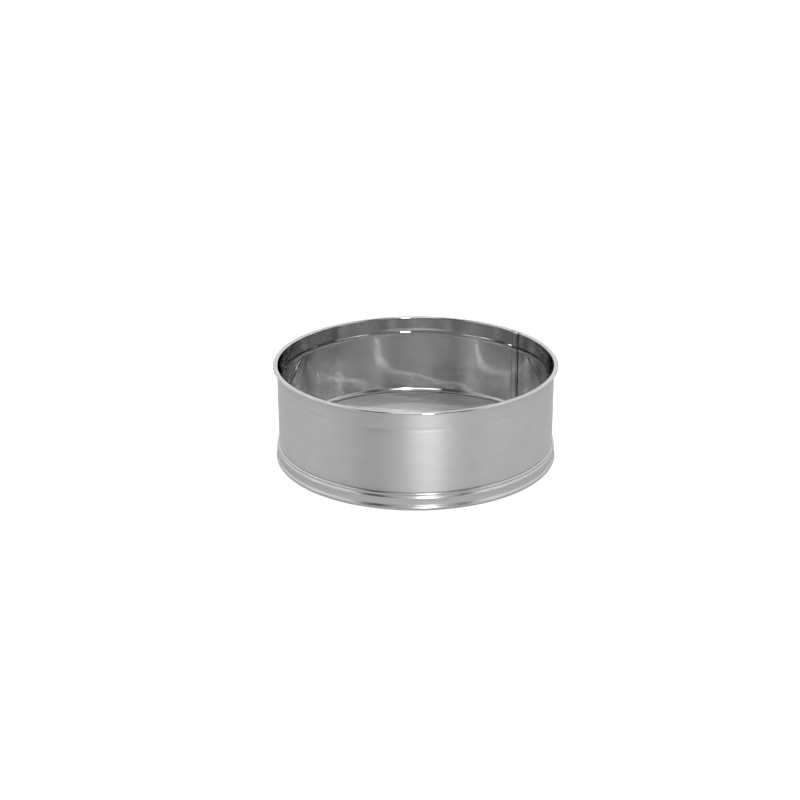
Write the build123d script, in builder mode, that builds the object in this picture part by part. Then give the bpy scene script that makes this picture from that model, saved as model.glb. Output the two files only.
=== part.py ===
from build123d import *
from math import acos, ceil, cos, degrees, radians, sin
import os

# Stainless steel drum sieve, in millimetres. +Z is up and the table is at z = 0.
# A strip of sheet is rolled into the drum and locked at one upright seam. Its top edge is
# curled outwards. Its lower edge is necked in, and the wire mesh is pulled across it and
# folded down round a tension wire. A rolled base ring clamps that fold and is the foot.

# Sheet and fits
sheet = 0.5
fit_gap = 0.05
overrun = 2.0
bend_accuracy = 0.08

# Drum wall
drum_radius = 105.5
total_height = 76.0

# Curled rim, rolled outwards and flattened
rim_reach = 3.1
rim_height = 1.8
rim_tip_gap = 0.15

# Stiffening bead, pressed in from outside
bead_drop = 14.0
bead_width = 5.0
bead_depth = 0.4

# Neck at the drum's lower edge
neck_depth = 1.4
neck_band = 0.5
neck_shoulder_radius = 1.2
neck_bend_radius = 1.1
neck_lip = 0.3

# Locked seam: the strip's ends fold over each other on the inside of the wall
seam_angle = 40.0
seam_width = 6.5
seam_ledge = 1.7
seam_line_width = 0.4
seam_line_depth = 0.2

# Clipped corner of the strip, which leaves a wedge open in the curl beside the seam
clip_length = 6.5
clip_tail = 0.5
clip_inset = 0.7

# Wire mesh, drawn as a coarse net of the cloth's thickness
mesh_top = 10.4
cloth = 0.5
net_bar = 1.5
net_margin = 0.6
gaps_across = 16
smallest_gap_share = 0.12

# Tension wire inside the mesh's folded edge
wire_radius = 0.55

# Base ring, from its rolled foot up to its lip. Reaches are measured out from the wall.
foot_curl_radius = 2.2
foot_flat = 0.8
foot_reach = 2.4
foot_fillet = 1.0
foot_tip_angle = 150.0
band_reach = 1.4
clamp_entry_radius = 1.2
clamp_bead_radius = 2.6
crimp_radius = 0.6
crimp_reach = 0.9
lip_reach = 1.3
lip_radius = 1.2

# Worked out from the values above
inner_radius = drum_radius - sheet
neck_radius = inner_radius - neck_depth
lip_end_radius = neck_radius + neck_bend_radius + neck_lip
hem_inner = wire_radius + fit_gap
hem_outer = hem_inner + cloth
hem_centre_radius = lip_end_radius + fit_gap + wire_radius
hem_centre_height = mesh_top - cloth - hem_inner
rim_bend = rim_height / 2
seam_degrees = degrees(seam_width / inner_radius)
ledge_degrees = degrees(seam_ledge / inner_radius)


def turn_for(step, first_radius, second_radius):
    """Angle of each of two opposite arcs that together step sideways by this much."""
    return degrees(acos(1 - step / (first_radius + second_radius)))


def rise_for(turn, first_radius, second_radius):
    """Height that such a pair of arcs takes along the wall."""
    return (first_radius + second_radius) * sin(radians(turn))


def polar_plane(angle, height=0):
    """Level plane whose x axis points out from the drum's axis at this angle."""
    direction = (cos(radians(angle)), sin(radians(angle)), 0)
    return Plane(origin=(0, 0, height), x_dir=direction, z_dir=(0, 0, 1))


def upright_plane(angle):
    """Upright half plane through the axis at this angle: x is the radius, y the height."""
    direction = (cos(radians(angle)), sin(radians(angle)), 0)
    across = (sin(radians(angle)), -cos(radians(angle)), 0)
    return Plane(origin=(0, 0, 0), x_dir=direction, z_dir=across)


def flats_in(radius, turn):
    """Number of flats that draw a bend, none of them further than bend_accuracy from its arc."""
    return ceil(abs(turn) / degrees(2 * acos(1 - bend_accuracy / radius)))


def draw_sheet(start, heading, moves, thickness):
    """Outline of bent sheet. One face follows the moves and the other lies beside it.

    A move is a straight length, or the radius and the turn of a bend, where a left turn is
    positive. A bend is drawn as short flats. Thickness is measured to the left of the path,
    so a negative one lies right.
    """
    faces = []
    for side in (0, thickness):
        direction = Vector(*heading)
        points = [Vector(*start) + direction.rotate(Axis.Z, 90) * side]
        for move in moves:
            if isinstance(move, tuple):
                radius, turn = move
                side_radius = radius - side * turn / abs(turn)
                bend = JernArc(points[-1], direction, side_radius, turn, mode=Mode.PRIVATE)
                flats = flats_in(radius, turn)
                points += [bend @ (count / flats) for count in range(1, flats + 1)]
                direction = bend % 1
            else:
                points.append(points[-1] + direction * move)
        faces.append(points)
    Polyline(*faces[0], *reversed(faces[1]), close=True)


neck_turn = turn_for(neck_depth, neck_shoulder_radius, neck_shoulder_radius)
neck_rise = rise_for(neck_turn, neck_shoulder_radius, neck_shoulder_radius)
neck_top = mesh_top + neck_bend_radius + neck_band + neck_rise
bead_start = total_height - bead_drop - bead_width / 2
bead_slope = 2 * bead_depth / bead_width
bead_radius = bead_width * (1 + bead_slope**2) / (8 * bead_slope)
bead_turn = turn_for(bead_depth, bead_radius, bead_radius)
neck_moves = [
    neck_lip,
    (neck_bend_radius, -90),
    neck_band,
    (neck_shoulder_radius, -neck_turn),
    (neck_shoulder_radius, neck_turn),
]
wall_moves = [
    bead_start - neck_top,
    (bead_radius, bead_turn),
    (bead_radius, -bead_turn),
    (bead_radius, -bead_turn),
    (bead_radius, bead_turn),
    bead_drop - bead_width / 2 - rim_bend,
]
rim_moves = [
    (rim_bend, -90),
    sheet + rim_reach - rim_height,
    (rim_bend, -180),
    rim_reach - rim_bend - rim_tip_gap,
]

# Drum: one sheet from the lip under the neck to the tip of the curled rim
with BuildPart() as drum:
    with BuildSketch(Plane.XZ):
        with BuildLine():
            drum_moves = neck_moves + wall_moves + rim_moves
            draw_sheet((lip_end_radius, mesh_top), (-1, 0), drum_moves, -sheet)
        make_face()
    revolve(axis=Axis.Z)
    # The seam's two folded layers follow the wall and its bead
    for layers, start_degrees in ((1, 0), (2, ledge_degrees)):
        with BuildSketch(upright_plane(seam_angle - seam_degrees / 2 + start_degrees)):
            with BuildLine():
                draw_sheet((inner_radius, neck_top), (0, 1), wall_moves, layers * sheet)
            make_face()
        revolve(axis=Axis.Z, revolution_arc=seam_degrees - start_degrees)
    # Hairline on the outside, where the sheet folds in
    line_bottom = neck_top + overrun
    with BuildSketch(polar_plane(seam_angle, line_bottom)):
        with Locations((drum_radius, 0)):
            Rectangle(2 * seam_line_depth, seam_line_width)
    extrude(amount=total_height - rim_height - line_bottom, mode=Mode.SUBTRACT)
    # Open wedge in the top of the curl, left by the clipped corner
    with BuildSketch(polar_plane(seam_angle, total_height - rim_bend)):
        with BuildLine():
            clip_edge = drum_radius + rim_reach + overrun
            Polyline(
                (drum_radius + clip_inset, 0),
                (clip_edge, clip_tail),
                (clip_edge, -clip_length),
                close=True,
            )
        make_face()
    extrude(amount=rim_bend + overrun, mode=Mode.SUBTRACT)

# Base ring: rolled foot, plain band, bead over the mesh's fold, crimp and turned-in lip
clamp_reach = hem_centre_radius + hem_outer + fit_gap + sheet - drum_radius
foot_turn = turn_for(foot_reach - band_reach, foot_curl_radius, foot_fillet)
foot_rise = foot_curl_radius + rise_for(foot_turn, foot_curl_radius, foot_fillet)
entry_turn = turn_for(clamp_reach - band_reach, clamp_entry_radius, clamp_bead_radius)
entry_rise = rise_for(entry_turn, clamp_entry_radius, clamp_bead_radius)
crimp_turn = turn_for(clamp_reach - crimp_reach, clamp_bead_radius, crimp_radius)
lip_turn = turn_for(lip_reach - crimp_reach, crimp_radius, lip_radius)
ring_moves = [
    (foot_curl_radius, 270 - foot_tip_angle),
    foot_flat,
    (foot_curl_radius, 90),
    (foot_curl_radius, foot_turn),
    (foot_fillet, -foot_turn),
    hem_centre_height - entry_rise - foot_rise,
    (clamp_entry_radius, -entry_turn),
    (clamp_bead_radius, entry_turn),
    (clamp_bead_radius, crimp_turn),
    (crimp_radius, -crimp_turn),
    (crimp_radius, -lip_turn),
    (lip_radius, lip_turn),
    (lip_radius, 90),
    lip_reach - lip_radius - fit_gap,
]
tip_cos, tip_sin = cos(radians(foot_tip_angle)), sin(radians(foot_tip_angle))
foot_centre = drum_radius + foot_reach - foot_curl_radius - foot_flat
foot_tip = (foot_centre + foot_curl_radius * tip_cos, foot_curl_radius * (1 + tip_sin))
with BuildPart() as base_ring:
    with BuildSketch(Plane.XZ):
        with BuildLine():
            draw_sheet(foot_tip, (-tip_sin, tip_cos), ring_moves, sheet)
        make_face()
    revolve(axis=Axis.Z)

# Mesh: the woven cloth as a flat net, with its edge folded down round the tension wire
open_radius = neck_radius - net_margin
net_pitch = 2 * open_radius / gaps_across
net_gap = net_pitch - net_bar
with BuildSketch() as gaps:
    with GridLocations(net_pitch, net_pitch, gaps_across, gaps_across):
        Rectangle(net_gap, net_gap)
    Circle(open_radius, mode=Mode.INTERSECT)
kept_gaps = [gap for gap in gaps.sketch.faces() if gap.area > smallest_gap_share * net_gap**2]
with BuildPart() as wire_mesh:
    with BuildSketch(Plane.XY.offset(mesh_top - cloth)):
        Circle(hem_centre_radius)
        add(kept_gaps, mode=Mode.SUBTRACT)
    extrude(amount=cloth)
    with BuildSketch(Plane.XZ):
        with BuildLine():
            draw_sheet((hem_centre_radius, mesh_top - cloth), (1, 0), [(hem_inner, -180)], cloth)
        make_face()
    revolve(axis=Axis.Z)

# Tension wire, a closed hoop inside the mesh's fold
with BuildPart() as tension_wire:
    with BuildSketch(Plane.XZ):
        with Locations((hem_centre_radius, hem_centre_height)):
            RegularPolygon(wire_radius, 2 * flats_in(hem_inner, 180), rotation=90)
    revolve(axis=Axis.Z)

os.makedirs("parts", exist_ok=True)
drum.part.label = "drum"
base_ring.part.label = "base_ring"
wire_mesh.part.label = "wire_mesh"
tension_wire.part.label = "tension_wire"
export_step(drum.part, "parts/drum.step")
export_step(base_ring.part, "parts/base_ring.step")
export_step(wire_mesh.part, "parts/wire_mesh.step")
export_step(tension_wire.part, "parts/tension_wire.step")
print("gaps in the net:", len(kept_gaps))
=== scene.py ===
import bpy
from cmath import exp
from math import acos, ceil, copysign, cos, pi, radians, sin, tan
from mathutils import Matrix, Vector


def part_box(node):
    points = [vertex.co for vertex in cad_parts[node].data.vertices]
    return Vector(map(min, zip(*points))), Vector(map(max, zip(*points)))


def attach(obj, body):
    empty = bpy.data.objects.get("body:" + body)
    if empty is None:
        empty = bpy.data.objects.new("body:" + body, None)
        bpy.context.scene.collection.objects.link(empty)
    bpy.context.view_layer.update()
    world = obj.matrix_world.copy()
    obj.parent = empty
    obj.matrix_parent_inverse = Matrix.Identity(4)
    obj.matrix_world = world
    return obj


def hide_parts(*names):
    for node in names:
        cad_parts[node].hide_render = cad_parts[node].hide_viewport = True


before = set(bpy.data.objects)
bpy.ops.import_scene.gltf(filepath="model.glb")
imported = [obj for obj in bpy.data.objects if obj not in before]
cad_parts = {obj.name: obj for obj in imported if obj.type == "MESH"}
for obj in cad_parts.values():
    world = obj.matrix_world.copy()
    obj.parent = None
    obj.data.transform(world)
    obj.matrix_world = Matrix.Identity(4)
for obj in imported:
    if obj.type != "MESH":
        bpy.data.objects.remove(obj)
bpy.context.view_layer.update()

# Metres throughout, with the object's sizes given in millimetres
MM = 0.001

ring_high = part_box("base_ring")[1]
drum_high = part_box("drum")[1]
cloth_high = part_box("wire_mesh")[1]

# Sheet, whose bends are given in degrees
sheet = 0.5 * MM
bend_step = 12.0
hoop_segments = 360
crease_angle = radians(35.0)

# Drum wall, curled rim and stiffening bead
foot_reach = 2.4 * MM
wall_radius = ring_high.x - foot_reach
wall_inside = wall_radius - sheet
total_height = drum_high.z
rim_reach = 3.1 * MM
rim_height = 1.8 * MM
rim_tip_gap = 0.15 * MM
rim_crown = 40.0
bead_drop = 14.0 * MM
bead_width = 5.0 * MM
bead_depth = 0.4 * MM

# Neck that the cloth is pulled over
cloth_thickness = 0.5 * MM
cloth_top = cloth_high.z
cloth_bottom = cloth_top - cloth_thickness
neck_depth = 1.4 * MM
neck_band = 0.5 * MM
neck_shoulder_radius = 1.2 * MM
neck_bend_radius = 1.1 * MM
neck_lip = 0.3 * MM

# Locked side seam on the inside of the wall, and the clipped corner in the curl beside it
seam_angle = radians(40.0)
seam_width = 6.5 * MM
seam_ledge = 1.7 * MM
seam_line = 0.3 * MM
seam_rounding = 0.18 * MM
seam_rounding_steps = 3
seam_corner_angle = radians(60.0)
# Painted shade: a dark line on the inside sheet down each edge of the seam, standing in for the
# shade in the crevice where the folded strip meets the wall
seam_shade_width = 0.9 * MM
seam_shade_places = (
    seam_width / 2 - pi * wall_radius,
    pi * wall_radius - seam_width / 2,
)
notch_start = 0.2 * MM
notch_end = 3.4 * MM
notch_slope = 2.5
notch_return = 2.0
notch_fade = radians(14.0)
no_notch = (1.0, 1.0)

# Woven cloth, and its fold round the tension wire
weave_pitch = 0.9 * MM
weave_wire = 0.25 * MM
weave_wire_sides = 4
weave_angle = radians(38.0)
fit_gap = 0.05 * MM
tension_wire_radius = 0.55 * MM

# Base ring
foot_curl_radius = 2.2 * MM
foot_flat = 0.8 * MM
foot_fillet = 1.0 * MM
foot_tip_angle = 150.0
band_reach = 1.4 * MM
clamp_entry_radius = 1.2 * MM
clamp_bead_radius = 2.6 * MM
crimp_radius = 0.6 * MM
crimp_reach = 0.9 * MM
lip_reach = 1.3 * MM
lip_radius = 1.2 * MM


class Value:
    """One output of a node. Sums written with it add the Math nodes that work them out."""

    def __init__(self, plan, socket):
        self.plan = plan
        self.socket = socket

    def math(self, operation, *numbers):
        return self.plan.node("ShaderNodeMath", {"operation": operation}, dict(enumerate(numbers)))

    def __add__(self, other):
        return self.math("ADD", self, other)

    def __sub__(self, other):
        return self.math("SUBTRACT", self, other)

    def __rsub__(self, other):
        return self.math("SUBTRACT", other, self)

    def __mul__(self, other):
        return self.math("MULTIPLY", self, other)

    def __truediv__(self, other):
        return self.math("DIVIDE", self, other)

    def __rtruediv__(self, other):
        return self.math("DIVIDE", other, self)

    def __mod__(self, other):
        return self.math("FLOORED_MODULO", self, other)

    def __abs__(self):
        return self.math("ABSOLUTE", self)

    __radd__ = __add__
    __rmul__ = __mul__

    def floor(self):
        return self.math("FLOOR", self)

    def at_least(self, other):
        return self.math("MAXIMUM", self, other)

    def at_most(self, other):
        return self.math("MINIMUM", self, other)

    def above(self, other):
        return self.math("GREATER_THAN", self, other)

    def arctan2(self, other):
        return self.math("ARCTAN2", self, other)


class Plan:
    """A node tree being drawn up, for a material or for Geometry Nodes."""

    def __init__(self, tree):
        self.tree = tree

    def node(self, kind, settings=(), values=(), output=0):
        """Adds a node, with its settings first and then the value or the link of each input."""
        node = self.tree.nodes.new(kind)
        for name, setting in dict(settings).items():
            setattr(node, name, setting)
        for key, value in dict(values).items():
            if isinstance(value, Value):
                self.tree.links.new(value.socket, node.inputs[key])
            else:
                node.inputs[key].default_value = value
        return Value(self, node.outputs[output]) if len(node.outputs) else None


def new_object(name, data):
    """An object of this data, in the scene."""
    made = bpy.data.objects.new(name, data)
    bpy.context.scene.collection.objects.link(made)
    return made


def new_modifier_plan(name, inputs):
    """An empty Geometry Nodes tree with these inputs, and a Value for each of them."""
    tree = bpy.data.node_groups.new(name, "GeometryNodeTree")
    tree.interface.new_socket("Geometry", in_out="INPUT", socket_type="NodeSocketGeometry")
    tree.interface.new_socket("Geometry", in_out="OUTPUT", socket_type="NodeSocketGeometry")
    for label, kind in inputs.items():
        tree.interface.new_socket(label, in_out="INPUT", socket_type=f"NodeSocket{kind}")
    plan = Plan(tree)
    group_input = tree.nodes.new("NodeGroupInput")
    given = {socket.name: Value(plan, socket) for socket in group_input.outputs if socket.name}
    return plan, given


def close_plan(plan, geometry):
    """Ends a Geometry Nodes tree with its finished geometry."""
    plan.node("NodeGroupOutput", {}, {"Geometry": geometry})
    return plan.tree


def make_piece(name, tree, start_mesh, sizes):
    """Runs a Geometry Nodes tree on a mesh and keeps the result as a plain mesh."""
    base = new_object(name, start_mesh)
    modifier = base.modifiers.new(tree.name, "NODES")
    modifier.node_group = tree
    for item in tree.interface.items_tree:
        if item.in_out == "INPUT" and item.name in sizes:
            modifier[item.identifier] = sizes[item.name]
    graph = bpy.context.evaluated_depsgraph_get()
    made = bpy.data.meshes.new_from_object(base.evaluated_get(graph))
    base.modifiers.clear()
    base.data = made
    made.name = name
    return base


# Materials

# Sizes of the marks on sheet: length along it and height
drum_grain = (9 * MM, 0.25 * MM)
drum_waves = (70 * MM, 60 * MM)
drum_smudges = (16 * MM, 9 * MM)
drum_scuffs = (3.5 * MM, 0.5 * MM)
ring_lines = (30 * MM, 0.12 * MM)
ring_waves = (26 * MM, 12 * MM)

# How far the marks stand up from the metal, how broken they are and which way they lie
drum_grain_height = 0.0012 * MM
drum_scuff_height = 0.001 * MM
ring_wave_height = 0.05 * MM
ring_line_height = 0.0015 * MM
mark_roughness = 0.55
grain_turn = 0.25
wire_bump_height = 0.02 * MM
wire_bump_strength = 0.4
wire_patch_scale = 60.0

# Brightness and roughness of the metals
smudge_lift = 0.1
smudge_roughness = 0.06
grain_roughness = 0.04
# Darkness of the painted shade in the seam's crevices
seam_shade_level = 0.04
ring_darkest, ring_lightest = 0.52, 0.62
ring_smoothest, ring_line_roughness = 0.22, 0.1
ring_rolled = 0.6
wire_shade = 0.85
wire_smoothest, wire_patch_roughness = 0.05, 0.02


def grey(level):
    """A neutral colour."""
    return (level, level, level, 1)


def steel_plan(name):
    """An empty material, its plan, and the object's own coordinates."""
    material = bpy.data.materials.new(name)
    material.use_nodes = True
    material.node_tree.nodes.clear()
    plan = Plan(material.node_tree)
    place = plan.node("ShaderNodeTexCoord", output="Object")
    return material, plan, place


def close_steel(plan, colour, roughness, normal, rolled=0.0):
    """Ends a metal material. Rolled is how far its grain spreads a light up and down."""
    shader = plan.node(
        "ShaderNodeBsdfPrincipled",
        {},
        {
            "Base Color": colour,
            "Roughness": roughness,
            "Metallic": 1.0,
            "Normal": normal,
            "Anisotropic": rolled,
            "Anisotropic Rotation": grain_turn,
        },
    )
    plan.node("ShaderNodeOutputMaterial", {}, {"Surface": shader})


def unrolled(plan, place):
    """Place on the strip before it was rolled: length from opposite the seam, and height."""
    turned = plan.node(
        "ShaderNodeMapping",
        {"vector_type": "TEXTURE"},
        {"Vector": place, "Rotation": (0, 0, seam_angle + pi)},
    )
    x, y, z = (
        plan.node("ShaderNodeSeparateXYZ", {}, {"Vector": turned}, output=axis) for axis in "XYZ"
    )
    return y.arctan2(x) * wall_radius, z


def noise_on(plan, across, up, mark, detail, seed=0.0):
    """Noise on the unrolled strip, with marks of this length along it and this height."""
    length, height = mark
    spot = plan.node(
        "ShaderNodeCombineXYZ", {}, {"X": across / length, "Y": up / height, "Z": seed}
    )
    return plan.node(
        "ShaderNodeTexNoise",
        {"noise_dimensions": "3D"},
        {"Vector": spot, "Scale": 1.0, "Detail": detail, "Roughness": mark_roughness},
        output="Fac",
    )


def mix_colours(plan, level, first, last):
    """Goes from the first colour to the last as the level goes from 0 to 1."""
    # Inputs 6 and 7 and output 2 are the node's sockets for colours
    colours = {"Factor": level, 6: first, 7: last}
    return plan.node("ShaderNodeMix", {"data_type": "RGBA"}, colours, output=2)


def drum_sheet(name, darkest, smoothest, wave_height, rolled, joints=()):
    """Bright-rolled stainless sheet: faint rolling grain, soft waves and fine scuffs.

    Each place given along the sheet is drawn as a dark upright line of painted shade, in the crevice
    at an edge of the seam.
    """
    material, plan, place = steel_plan(name)
    across, up = unrolled(plan, place)
    grain = noise_on(plan, across, up, drum_grain, detail=3.0)
    waves = noise_on(plan, across, up, drum_waves, detail=1.0, seed=4.0)
    smudges = noise_on(plan, across, up, drum_smudges, detail=3.0, seed=9.0)
    scuffs = noise_on(plan, across, up, drum_scuffs, detail=2.0, seed=14.0)
    height = waves * wave_height + grain * drum_grain_height + scuffs * drum_scuff_height
    normal = plan.node("ShaderNodeBump", {}, {"Height": height, "Distance": 1.0, "Strength": 1.0})
    colour = mix_colours(plan, smudges, grey(darkest), grey(darkest + smudge_lift))
    # Painted shade: a dark line in the crevice at each edge of the seam
    for edge in joints:
        crevice_shade = (1 - abs(across - edge) / seam_shade_width).at_least(0)
        colour = mix_colours(plan, crevice_shade, colour, grey(seam_shade_level))
    roughness = smudges * smudge_roughness + grain * grain_roughness + smoothest
    close_steel(plan, colour, roughness, normal, rolled)
    return material


def ring_sheet():
    """Bright stainless ring: polished along its length by the forming rollers."""
    material, plan, place = steel_plan("rolled_ring_sheet")
    across, up = unrolled(plan, place)
    lines = noise_on(plan, across, up, ring_lines, detail=2.0, seed=2.0)
    waves = noise_on(plan, across, up, ring_waves, detail=1.0, seed=6.0)
    height = waves * ring_wave_height + lines * ring_line_height
    normal = plan.node("ShaderNodeBump", {}, {"Height": height, "Distance": 1.0, "Strength": 1.0})
    colour = mix_colours(plan, lines, grey(ring_darkest), grey(ring_lightest))
    roughness = lines * ring_line_roughness + ring_smoothest
    close_steel(plan, colour, roughness, normal, ring_rolled)
    return material


def woven_steel(name, lightest):
    """Bright drawn stainless wire."""
    material, plan, place = steel_plan(name)
    noise = {"Vector": place, "Scale": wire_patch_scale, "Detail": 3.0}
    patches = plan.node("ShaderNodeTexNoise", {}, noise)
    bump = {"Height": patches, "Distance": wire_bump_height, "Strength": wire_bump_strength}
    normal = plan.node("ShaderNodeBump", {}, bump)
    colour = mix_colours(plan, patches, grey(lightest * wire_shade), grey(lightest))
    roughness = patches * wire_patch_roughness + wire_smoothest
    close_steel(plan, colour, roughness, normal)
    return material


outer_steel = drum_sheet(
    "drum_sheet_outside", darkest=0.54, smoothest=0.52, wave_height=0.06 * MM, rolled=0.7
)
inner_steel = drum_sheet(
    "drum_sheet_inside",
    darkest=0.52,
    smoothest=0.01,
    wave_height=0.1 * MM,
    rolled=0.0,
    joints=seam_shade_places,
)
ring_steel = ring_sheet()
cloth_steel = woven_steel("woven_wire_steel", lightest=0.8)
wire_steel = woven_steel("tension_wire_steel", lightest=0.6)


# Rolled sheet: a section bent from flat sheet is swept round the axis


def step_turn(step, first_radius, second_radius):
    """Angle of each of two opposite bends that together step sideways by this much."""
    return acos(1 - step / (first_radius + second_radius)) * 180 / pi


def bent_sheet(start, heading, moves, thickness):
    """Section of bent sheet, as points radius + height * 1j with the sheet's length up to each.

    A move is a straight length, or the radius and the turn of a bend, left turns positive.
    The outline goes out along one face of the sheet and back along the other.
    """
    faces = []
    for side in (0, thickness):
        direction = complex(*heading)
        point = complex(*start) + 1j * direction * side
        run = 0.0
        face = [(point, run)]
        for move in moves:
            if isinstance(move, tuple):
                radius, turn = move
                steps = ceil(abs(turn) / bend_step)
                step = exp(1j * radians(turn) / steps)
                centre = point + 1j * direction * (copysign(radius, turn) - side)
                for _ in range(steps):
                    point = centre + (point - centre) * step
                    direction *= step
                    run += radius * radians(abs(turn)) / steps
                    face.append((point, run))
            else:
                point += direction * move
                run += move
                face.append((point, run))
        faces.append(face)
    return faces[0] + faces[1][::-1]


def section_mesh(name, outline):
    """A closed outline as a mesh of edges: x is the radius, y the height.

    Keeps each point's length of sheet, and which face of the sheet it is on.
    """
    count = len(outline)
    rows = [(point, run, float(i < count / 2)) for i, (point, run) in enumerate(outline)]
    turning = sum((rows[i - 1][0].conjugate() * rows[i][0]).imag for i in range(count))
    if turning > 0:
        rows.reverse()
    mesh = bpy.data.meshes.new(name)
    points = [(point.real, point.imag, 0) for point, run, first in rows]
    mesh.from_pydata(points, [(i, (i + 1) % count) for i in range(count)], [])
    runs, first_face = [row[1] for row in rows], [row[2] for row in rows]
    for label, values in (("sheet_run", runs), ("first_face", first_face)):
        kept = mesh.attributes.new(label, "FLOAT", "POINT")
        kept.data.foreach_set("value", values)
    return mesh


def hoop_tree():
    """Sweeps a section round the axis, part of the way or the whole way."""
    inputs = {
        "Path Radius": "Float",
        "Start Angle": "Float",
        "Sweep Angle": "Float",
        "Segments": "Int",
        "Whole Turn": "Bool",
        "Notch From": "Float",
        "Notch To": "Float",
        "Notch Slope": "Float",
        "Notch Fade": "Float",
        "Sharp Angle": "Float",
        "Metal": "Material",
        "First Face Metal": "Material",
    }
    plan, given = new_modifier_plan("rolled_hoop", inputs)
    shift = plan.node("ShaderNodeCombineXYZ", {}, {"X": 0 - given["Path Radius"]})
    flat = plan.node(
        "GeometryNodeTransform", {}, {"Geometry": given["Geometry"], "Translation": shift}
    )
    turned = plan.node(
        "GeometryNodeTransform", {}, {"Geometry": flat, "Rotation": (pi, 0, 0)}
    )
    section = plan.node("GeometryNodeMeshToCurve", {}, {"Mesh": turned})
    arc = plan.node(
        "GeometryNodeCurveArc",
        {"mode": "RADIUS"},
        {
            "Resolution": given["Segments"] + 1,
            "Radius": given["Path Radius"],
            "Start Angle": given["Start Angle"],
            "Sweep Angle": given["Sweep Angle"],
        },
    )
    ring = plan.node(
        "GeometryNodeCurvePrimitiveCircle",
        {"mode": "RADIUS"},
        {"Resolution": given["Segments"], "Radius": given["Path Radius"]},
    )
    path = plan.node(
        "GeometryNodeSwitch",
        {"input_type": "GEOMETRY"},
        {"Switch": given["Whole Turn"], "False": arc, "True": ring},
    )
    upright = plan.node("GeometryNodeSetCurveNormal", {"mode": "Z_UP"}, {"Curve": path})
    factor = plan.node("GeometryNodeSplineParameter", output="Factor")
    kept = plan.node(
        "GeometryNodeStoreNamedAttribute",
        {"data_type": "FLOAT", "domain": "POINT"},
        {"Geometry": upright, "Name": "way_round", "Value": factor},
    )
    open_ends = plan.node("FunctionNodeBooleanMath", {"operation": "NOT"}, {0: given["Whole Turn"]})
    swept = plan.node(
        "GeometryNodeCurveToMesh",
        {},
        {"Curve": kept, "Profile Curve": section, "Fill Caps": open_ends},
    )
    run, way, face = (
        plan.node("GeometryNodeInputNamedAttribute", {"data_type": "FLOAT"}, {"Name": kept_name})
        for kept_name in ("sheet_run", "way_round", "first_face")
    )
    depth = (run - given["Notch From"]).at_most((given["Notch To"] - run) * notch_return).at_least(0)
    cut = depth * given["Notch Slope"] / given["Path Radius"]
    fade = (1 - (1 - way) * given["Sweep Angle"] / given["Notch Fade"]).at_least(0)
    place = plan.node("GeometryNodeInputPosition")
    drawn_back = plan.node(
        "ShaderNodeVectorRotate",
        {"rotation_type": "Z_AXIS"},
        {"Vector": place, "Angle": 0 - cut * fade},
    )
    clipped = plan.node(
        "GeometryNodeSetPosition", {}, {"Geometry": swept, "Position": drawn_back}
    )
    smooth = plan.node("GeometryNodeSetShadeSmooth", {"domain": "FACE"}, {"Geometry": clipped})
    bend = plan.node("GeometryNodeInputMeshEdgeAngle", output="Unsigned Angle")
    sharp = plan.node(
        "FunctionNodeCompare", {"operation": "GREATER_THAN"}, {0: bend, 1: given["Sharp Angle"]}
    )
    creased = plan.node(
        "GeometryNodeSetShadeSmooth",
        {"domain": "EDGE"},
        {"Geometry": smooth, "Selection": sharp, "Shade Smooth": False},
    )
    real = plan.node("GeometryNodeRealizeInstances", {}, {"Geometry": creased})
    metal = plan.node(
        "GeometryNodeSetMaterial", {}, {"Geometry": real, "Material": given["Metal"]}
    )
    finished = plan.node(
        "GeometryNodeSetMaterial",
        {},
        {"Geometry": metal, "Selection": face.above(0.5), "Material": given["First Face Metal"]},
    )
    return close_plan(plan, finished)


rolled_hoop = hoop_tree()


def roll_hoop(name, outline, metals, start=0.0, sweep=2 * pi, notch=no_notch):
    """A piece rolled from sheet. Its metals are that of the first face drawn, and the other.

    The notch runs between two lengths of sheet. Where both are longer than the sheet, there
    is none.
    """
    whole_turn = sweep == 2 * pi
    sizes = {
        "Path Radius": wall_radius,
        "Start Angle": start,
        "Sweep Angle": sweep,
        "Segments": max(4, round(hoop_segments * sweep / (2 * pi))),
        "Whole Turn": whole_turn,
        "Notch From": notch[0],
        "Notch To": notch[1],
        "Notch Slope": notch_slope,
        "Notch Fade": notch_fade,
        "Sharp Angle": crease_angle,
        "Metal": metals[1],
        "First Face Metal": metals[0],
    }
    return make_piece(name, rolled_hoop, section_mesh(name, outline), sizes)


neck_turn = step_turn(neck_depth, neck_shoulder_radius, neck_shoulder_radius)
neck_rise = 2 * neck_shoulder_radius * sin(radians(neck_turn))
neck_radius = wall_inside - neck_depth
neck_top = cloth_top + neck_bend_radius + neck_band + neck_rise
lip_end_radius = neck_radius + neck_bend_radius + neck_lip
fold_inner = tension_wire_radius + fit_gap
wire_centre = lip_end_radius + fold_inner
crown_lean = tan(radians(rim_crown / 4))
rim_half = (sheet + rim_reach) / 2
rim_bend = (rim_height - rim_half * crown_lean) / (2 - crown_lean)
crown_radius = rim_bend + (rim_half - rim_bend) / sin(radians(rim_crown / 2))
bead_slope = 2 * bead_depth / bead_width
bead_radius = bead_width * (1 + bead_slope**2) / (8 * bead_slope)
bead_turn = step_turn(bead_depth, bead_radius, bead_radius)
neck_moves = [
    neck_lip,
    (neck_bend_radius, -90),
    neck_band,
    (neck_shoulder_radius, -neck_turn),
    (neck_shoulder_radius, neck_turn),
]
wall_moves = [
    total_height - bead_drop - bead_width / 2 - neck_top,
    (bead_radius, bead_turn),
    (bead_radius, -2 * bead_turn),
    (bead_radius, bead_turn),
    bead_drop - bead_width / 2 - rim_height + rim_bend,
]
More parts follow.
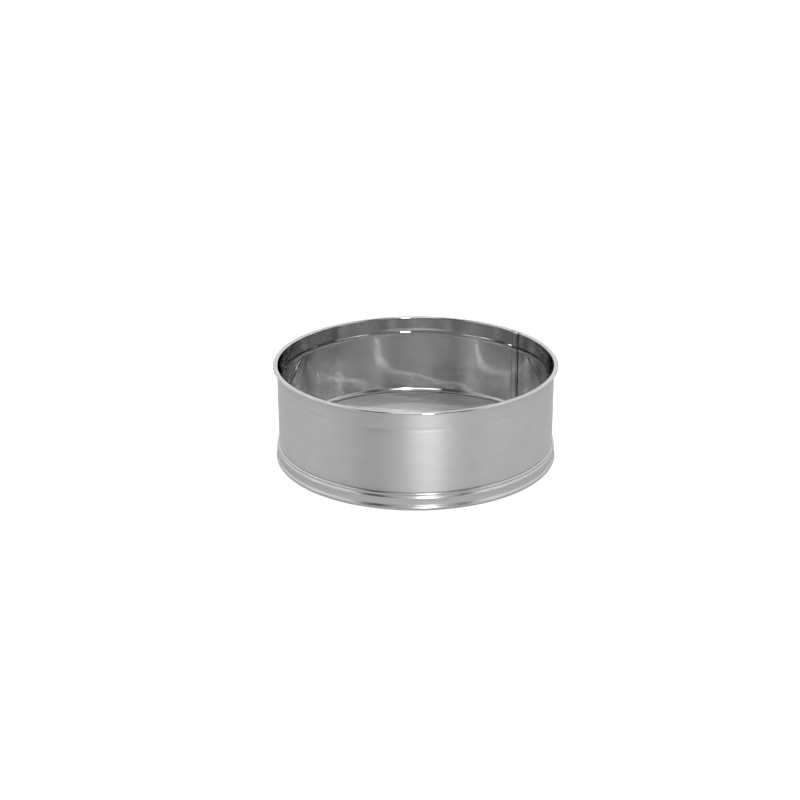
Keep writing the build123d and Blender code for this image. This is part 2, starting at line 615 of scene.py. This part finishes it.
rim_moves = [
    (rim_bend, rim_crown / 2 - 90),
    (crown_radius, -rim_crown),
    (rim_bend, rim_crown / 2 - 180),
    rim_reach - rim_bend - rim_tip_gap,
]


def length_of(moves):
    """Length of sheet that these moves take up."""
    return sum(m[0] * radians(abs(m[1])) if isinstance(m, tuple) else m for m in moves)


def make_drum():
    """The drum's sheet, from the lip under its neck to the tip of the curled rim."""
    moves = neck_moves + wall_moves + rim_moves
    outline = bent_sheet((lip_end_radius, cloth_top), (-1, 0), moves, -sheet)
    slit = seam_line / wall_radius
    crest = length_of(neck_moves + wall_moves + rim_moves[:1] + [(crown_radius, rim_crown / 2)])
    notch = (crest + notch_start, crest + notch_end)
    metals = (inner_steel, outer_steel)
    return roll_hoop("drum_wall", outline, metals, seam_angle + slit / 2, 2 * pi - slit, notch)


def make_seam():
    """The two folded layers of the locked seam, stepped at one edge."""
    whole = seam_width / wall_inside
    ledge = seam_ledge / wall_inside
    metals = (inner_steel, inner_steel)
    layers = []
    for name, inset, start in (("seam_under_fold", 0.0, 0.0), ("seam_over_fold", sheet, ledge)):
        outline = bent_sheet((wall_inside - inset, neck_top), (0, 1), wall_moves, sheet)
        made = roll_hoop(name, outline, metals, seam_angle - whole / 2 + start, whole - start)
        bevel = made.modifiers.new("folded edge", "BEVEL")
        bevel.width = seam_rounding
        bevel.segments = seam_rounding_steps
        bevel.limit_method = "ANGLE"
        bevel.angle_limit = seam_corner_angle
        layers.append(made)
    return layers


def make_ring():
    """The base ring's sheet, from the tip of its rolled foot to its turned-in lip."""
    fold_outer = fold_inner + cloth_thickness
    clamp_reach = wire_centre + fold_outer + fit_gap + sheet - wall_radius
    clamp_height = cloth_bottom - fold_inner
    foot_turn = step_turn(foot_reach - band_reach, foot_curl_radius, foot_fillet)
    foot_rise = foot_curl_radius + (foot_curl_radius + foot_fillet) * sin(radians(foot_turn))
    entry_turn = step_turn(clamp_reach - band_reach, clamp_entry_radius, clamp_bead_radius)
    entry_rise = (clamp_entry_radius + clamp_bead_radius) * sin(radians(entry_turn))
    crimp_turn = step_turn(clamp_reach - crimp_reach, clamp_bead_radius, crimp_radius)
    lip_turn = step_turn(lip_reach - crimp_reach, crimp_radius, lip_radius)
    moves = [
        (foot_curl_radius, 270 - foot_tip_angle),
        foot_flat,
        (foot_curl_radius, 90 + foot_turn),
        (foot_fillet, -foot_turn),
        clamp_height - entry_rise - foot_rise,
        (clamp_entry_radius, -entry_turn),
        (clamp_bead_radius, entry_turn + crimp_turn),
        (crimp_radius, -crimp_turn - lip_turn),
        (lip_radius, lip_turn + 90),
        lip_reach - lip_radius - fit_gap,
    ]
    tip = exp(1j * radians(foot_tip_angle))
    foot_centre = wall_radius + foot_reach - foot_curl_radius - foot_flat
    start = (foot_centre + foot_curl_radius * tip.real, foot_curl_radius * (1 + tip.imag))
    outline = bent_sheet(start, (-tip.imag, tip.real), moves, sheet)
    return roll_hoop("rolled_base_ring", outline, (ring_steel, ring_steel))


# Woven cloth


def cloth_tree():
    """Plain weave: every wire goes over one crossing wire and under the next."""
    inputs = {
        "Pitch": "Float",
        "Wire": "Float",
        "Radius": "Float",
        "Height": "Float",
        "First Wire": "Int",
        "Last Wire": "Int",
        "Turned Over": "Bool",
        "Lay": "Float",
        "Metal": "Material",
    }
    plan, given = new_modifier_plan("plain_weave", inputs)
    pitch, wire = given["Pitch"], given["Wire"]
    half = (given["Radius"] / pitch).floor()
    rows = given["Last Wire"] - given["First Wire"] + 1
    grid = plan.node(
        "GeometryNodeMeshGrid",
        {},
        {"Size X": 1.0, "Size Y": 1.0, "Vertices X": half * 2 + 1, "Vertices Y": rows},
    )
    index = plan.node("GeometryNodeInputIndex")
    column = (index / rows).floor() - half
    row = index % rows + given["First Wire"]
    over = 1 - ((column + row) % 2) * 2
    spot = plan.node(
        "ShaderNodeCombineXYZ", {}, {"X": column * pitch, "Y": row * pitch, "Z": over * wire / 2}
    )
    placed = plan.node("GeometryNodeSetPosition", {}, {"Geometry": grid, "Position": spot})
    first, second = (
        plan.node("GeometryNodeInputMeshEdgeVertices", output=end)
        for end in ("Vertex Index 1", "Vertex Index 2")
    )
    lone = plan.node(
        "GeometryNodeDeleteGeometry",
        {"domain": "EDGE", "mode": "EDGE_FACE"},
        {"Geometry": placed, "Selection": 1 - abs(first - second).above(rows - 0.5)},
    )
    far = (column * column + row * row).above(half * half)
    round_cloth = plan.node(
        "GeometryNodeDeleteGeometry", {"domain": "POINT"}, {"Geometry": lone, "Selection": far}
    )
    lines = plan.node("GeometryNodeMeshToCurve", {}, {"Mesh": round_cloth})
    section = plan.node(
        "GeometryNodeCurvePrimitiveCircle",
        {"mode": "RADIUS"},
        {"Resolution": weave_wire_sides, "Radius": wire / 2},
    )
    wires = plan.node(
        "GeometryNodeCurveToMesh", {}, {"Curve": lines, "Profile Curve": section, "Fill Caps": True}
    )
    turned = given["Turned Over"]
    over_and_round = plan.node(
        "ShaderNodeCombineXYZ", {}, {"X": turned * pi, "Z": turned * (pi / 2) + given["Lay"]}
    )
    lift = plan.node("ShaderNodeCombineXYZ", {}, {"Z": given["Height"]})
    laid = plan.node(
        "GeometryNodeTransform",
        {},
        {"Geometry": wires, "Rotation": over_and_round, "Translation": lift},
    )
    smooth = plan.node("GeometryNodeSetShadeSmooth", {"domain": "FACE"}, {"Geometry": laid})
    real = plan.node("GeometryNodeRealizeInstances", {}, {"Geometry": smooth})
    metal = plan.node(
        "GeometryNodeSetMaterial", {}, {"Geometry": real, "Material": given["Metal"]}
    )
    return close_plan(plan, metal)


def weave_cloth():
    """The cloth in four lots of wires: two directions, each in two halves."""
    plain_weave = cloth_tree()
    radius = lip_end_radius
    last = int(radius / weave_pitch)
    lots = []
    for direction, turned_over in (("across", False), ("along", True)):
        for half, first_wire, last_wire in (("low", -last, -1), ("high", 0, last)):
            sizes = {
                "Pitch": weave_pitch,
                "Wire": weave_wire,
                "Radius": radius,
                "Height": cloth_bottom + cloth_thickness / 2,
                "First Wire": first_wire,
                "Last Wire": last_wire,
                "Turned Over": turned_over,
                "Lay": weave_angle,
                "Metal": cloth_steel,
            }
            name = f"cloth_wires_{direction}_{half}"
            lots.append(make_piece(name, plain_weave, bpy.data.meshes.new(name), sizes))
    return lots


def fold_cloth():
    """The cloth's edge, folded down round the tension wire."""
    start = (neck_radius, cloth_bottom)
    moves = [wire_centre - neck_radius, (fold_inner, -180)]
    outline = bent_sheet(start, (1, 0), moves, cloth_thickness)
    return roll_hoop("cloth_fold", outline, (cloth_steel, cloth_steel))


pieces = {
    "drum": ([make_drum(), *make_seam()], "polished_sheet"),
    "base_ring": ([make_ring()], "rolled_ring"),
    "wire_mesh": ([*weave_cloth(), fold_cloth()], "woven_wire"),
}
for node, (made, slot) in pieces.items():
    for piece in made:
        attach(piece, "root")
        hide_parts(node)
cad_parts["tension_wire"].material_slots[0].material = wire_steel


# Floor, lamps and camera

floor_size = 12.0
floor_level = 0.9
floor_glow = 0.62
sky_light = 0.5
flag_level = 0.12
middle = Vector((0, 0, total_height / 2))


def make_floor():
    """A pale floor that keeps the object's shadow."""
    mesh = bpy.data.meshes.new("studio_floor")
    half = floor_size / 2
    corners = [(-half, -half, 0), (half, -half, 0), (half, half, 0), (-half, half, 0)]
    mesh.from_pydata(corners, [], [(0, 1, 2, 3)])
    floor = new_object("studio_floor", mesh)
    material = bpy.data.materials.new("pale_floor")
    material.use_nodes = True
    material.node_tree.nodes.clear()
    plan = Plan(material.node_tree)
    matte = plan.node("ShaderNodeBsdfDiffuse", {}, {"Color": grey(floor_level)})
    glow = plan.node("ShaderNodeEmission", {}, {"Color": grey(1), "Strength": floor_glow})
    seen = plan.node("ShaderNodeLightPath", output="Is Camera Ray")
    nothing = plan.node("ShaderNodeEmission", {}, {"Strength": 0.0})
    lift = plan.node("ShaderNodeMixShader", {}, {0: seen, 1: nothing, 2: glow})
    both = plan.node("ShaderNodeAddShader", {}, {0: matte, 1: lift})
    plan.node("ShaderNodeOutputMaterial", {}, {"Surface": both})
    mesh.materials.append(material)


def make_sky():
    """White to the eye and in reflections, and a softer light on everything else."""
    world = bpy.data.worlds.new("studio")
    bpy.context.scene.world = world
    world.use_nodes = True
    world.node_tree.nodes.clear()
    plan = Plan(world.node_tree)
    camera, glossy, clear = (
        plan.node("ShaderNodeLightPath", output=ray)
        for ray in ("Is Camera Ray", "Is Glossy Ray", "Is Transmission Ray")
    )
    white = (camera + glossy + clear).at_most(1)
    level = white * (1 - sky_light) + sky_light
    sky = plan.node("ShaderNodeBackground", {}, {"Color": grey(1), "Strength": level})
    plan.node("ShaderNodeOutputWorld", {}, {"Surface": sky})


def make_softbox(name, place, width, length, brightness):
    """A soft rectangular lamp that faces the object. Brightness 1 looks white."""
    lamp = bpy.data.lights.new(name, "AREA")
    lamp.shape = "RECTANGLE"
    lamp.size = width
    lamp.size_y = length
    lamp.energy = brightness * pi * width * length
    holder = new_object(name, lamp)
    holder.location = place
    holder.rotation_euler = (middle - place).to_track_quat("-Z", "Y").to_euler()


def around(azimuth, elevation, distance):
    """A place this far from the object, turned from +X towards +Y and then raised."""
    a, e = radians(azimuth), radians(elevation)
    return middle + distance * Vector((cos(a) * cos(e), sin(a) * cos(e), sin(e)))


def make_flag(name, place, width, length):
    """A dark card that the camera doesn't see. It gives the metal something dark to show."""
    mesh = bpy.data.meshes.new(name)
    aim = (middle - place).to_track_quat("-Z", "Y")
    corners = [(-width, -length), (width, -length), (width, length), (-width, length)]
    points = [place + aim @ Vector((x / 2, y / 2, 0)) for x, y in corners]
    mesh.from_pydata(points, [], [(3, 2, 1, 0)])
    card = new_object(name, mesh)
    material = bpy.data.materials.new(name)
    material.use_nodes = True
    material.node_tree.nodes.clear()
    plan = Plan(material.node_tree)
    dark = plan.node("ShaderNodeBsdfDiffuse", {}, {"Color": grey(flag_level)})
    plan.node("ShaderNodeOutputMaterial", {}, {"Surface": dark})
    mesh.materials.append(material)
    card.visible_camera = False
    card.visible_shadow = False
    card.visible_diffuse = False


view_distance = 1.2
view_elevation = radians(21.6)
sensor_width = 36.0
frame_pixels = 800
focal_pixels = 1556.0
axis_pixel = (415.65, 406.7)


def make_camera():
    """The photograph's viewpoint, with the object where it stands in that frame."""
    lens = bpy.data.cameras.new("view")
    lens.sensor_width = sensor_width
    lens.lens = focal_pixels / frame_pixels * sensor_width
    lens.shift_x = 0.5 - axis_pixel[0] / frame_pixels
    lens.shift_y = axis_pixel[1] / frame_pixels - 0.5
    camera = new_object("view", lens)
    back = Vector((0, -cos(view_elevation), sin(view_elevation)))
    camera.location = middle + back * view_distance
    camera.rotation_euler = (pi / 2 - view_elevation, 0, 0)
    bpy.context.scene.camera = camera


make_floor()
make_sky()
make_softbox("top_softbox", around(-90, 88, 1.5), width=0.5, length=0.5, brightness=4.0)
make_softbox("key_softbox", around(-81, 14, 1.5), width=0.2, length=0.6, brightness=18.0)
make_softbox("fill_softbox", around(-84, 34, 1.7), width=1.6, length=0.9, brightness=0.85)
make_softbox("right_lamp", around(-30, 9, 1.6), width=0.5, length=0.12, brightness=2.0)
make_softbox("left_lamp", around(-174, 9, 1.6), width=0.15, length=0.2, brightness=2.0)
make_flag("front_flag", around(-90, 26, 2.2), width=4.0, length=2.3)
make_flag("top_flag", around(-90, 80, 2.4), width=3.0, length=2.4)
make_camera()
bpy.context.scene.view_settings.view_transform = "Standard"
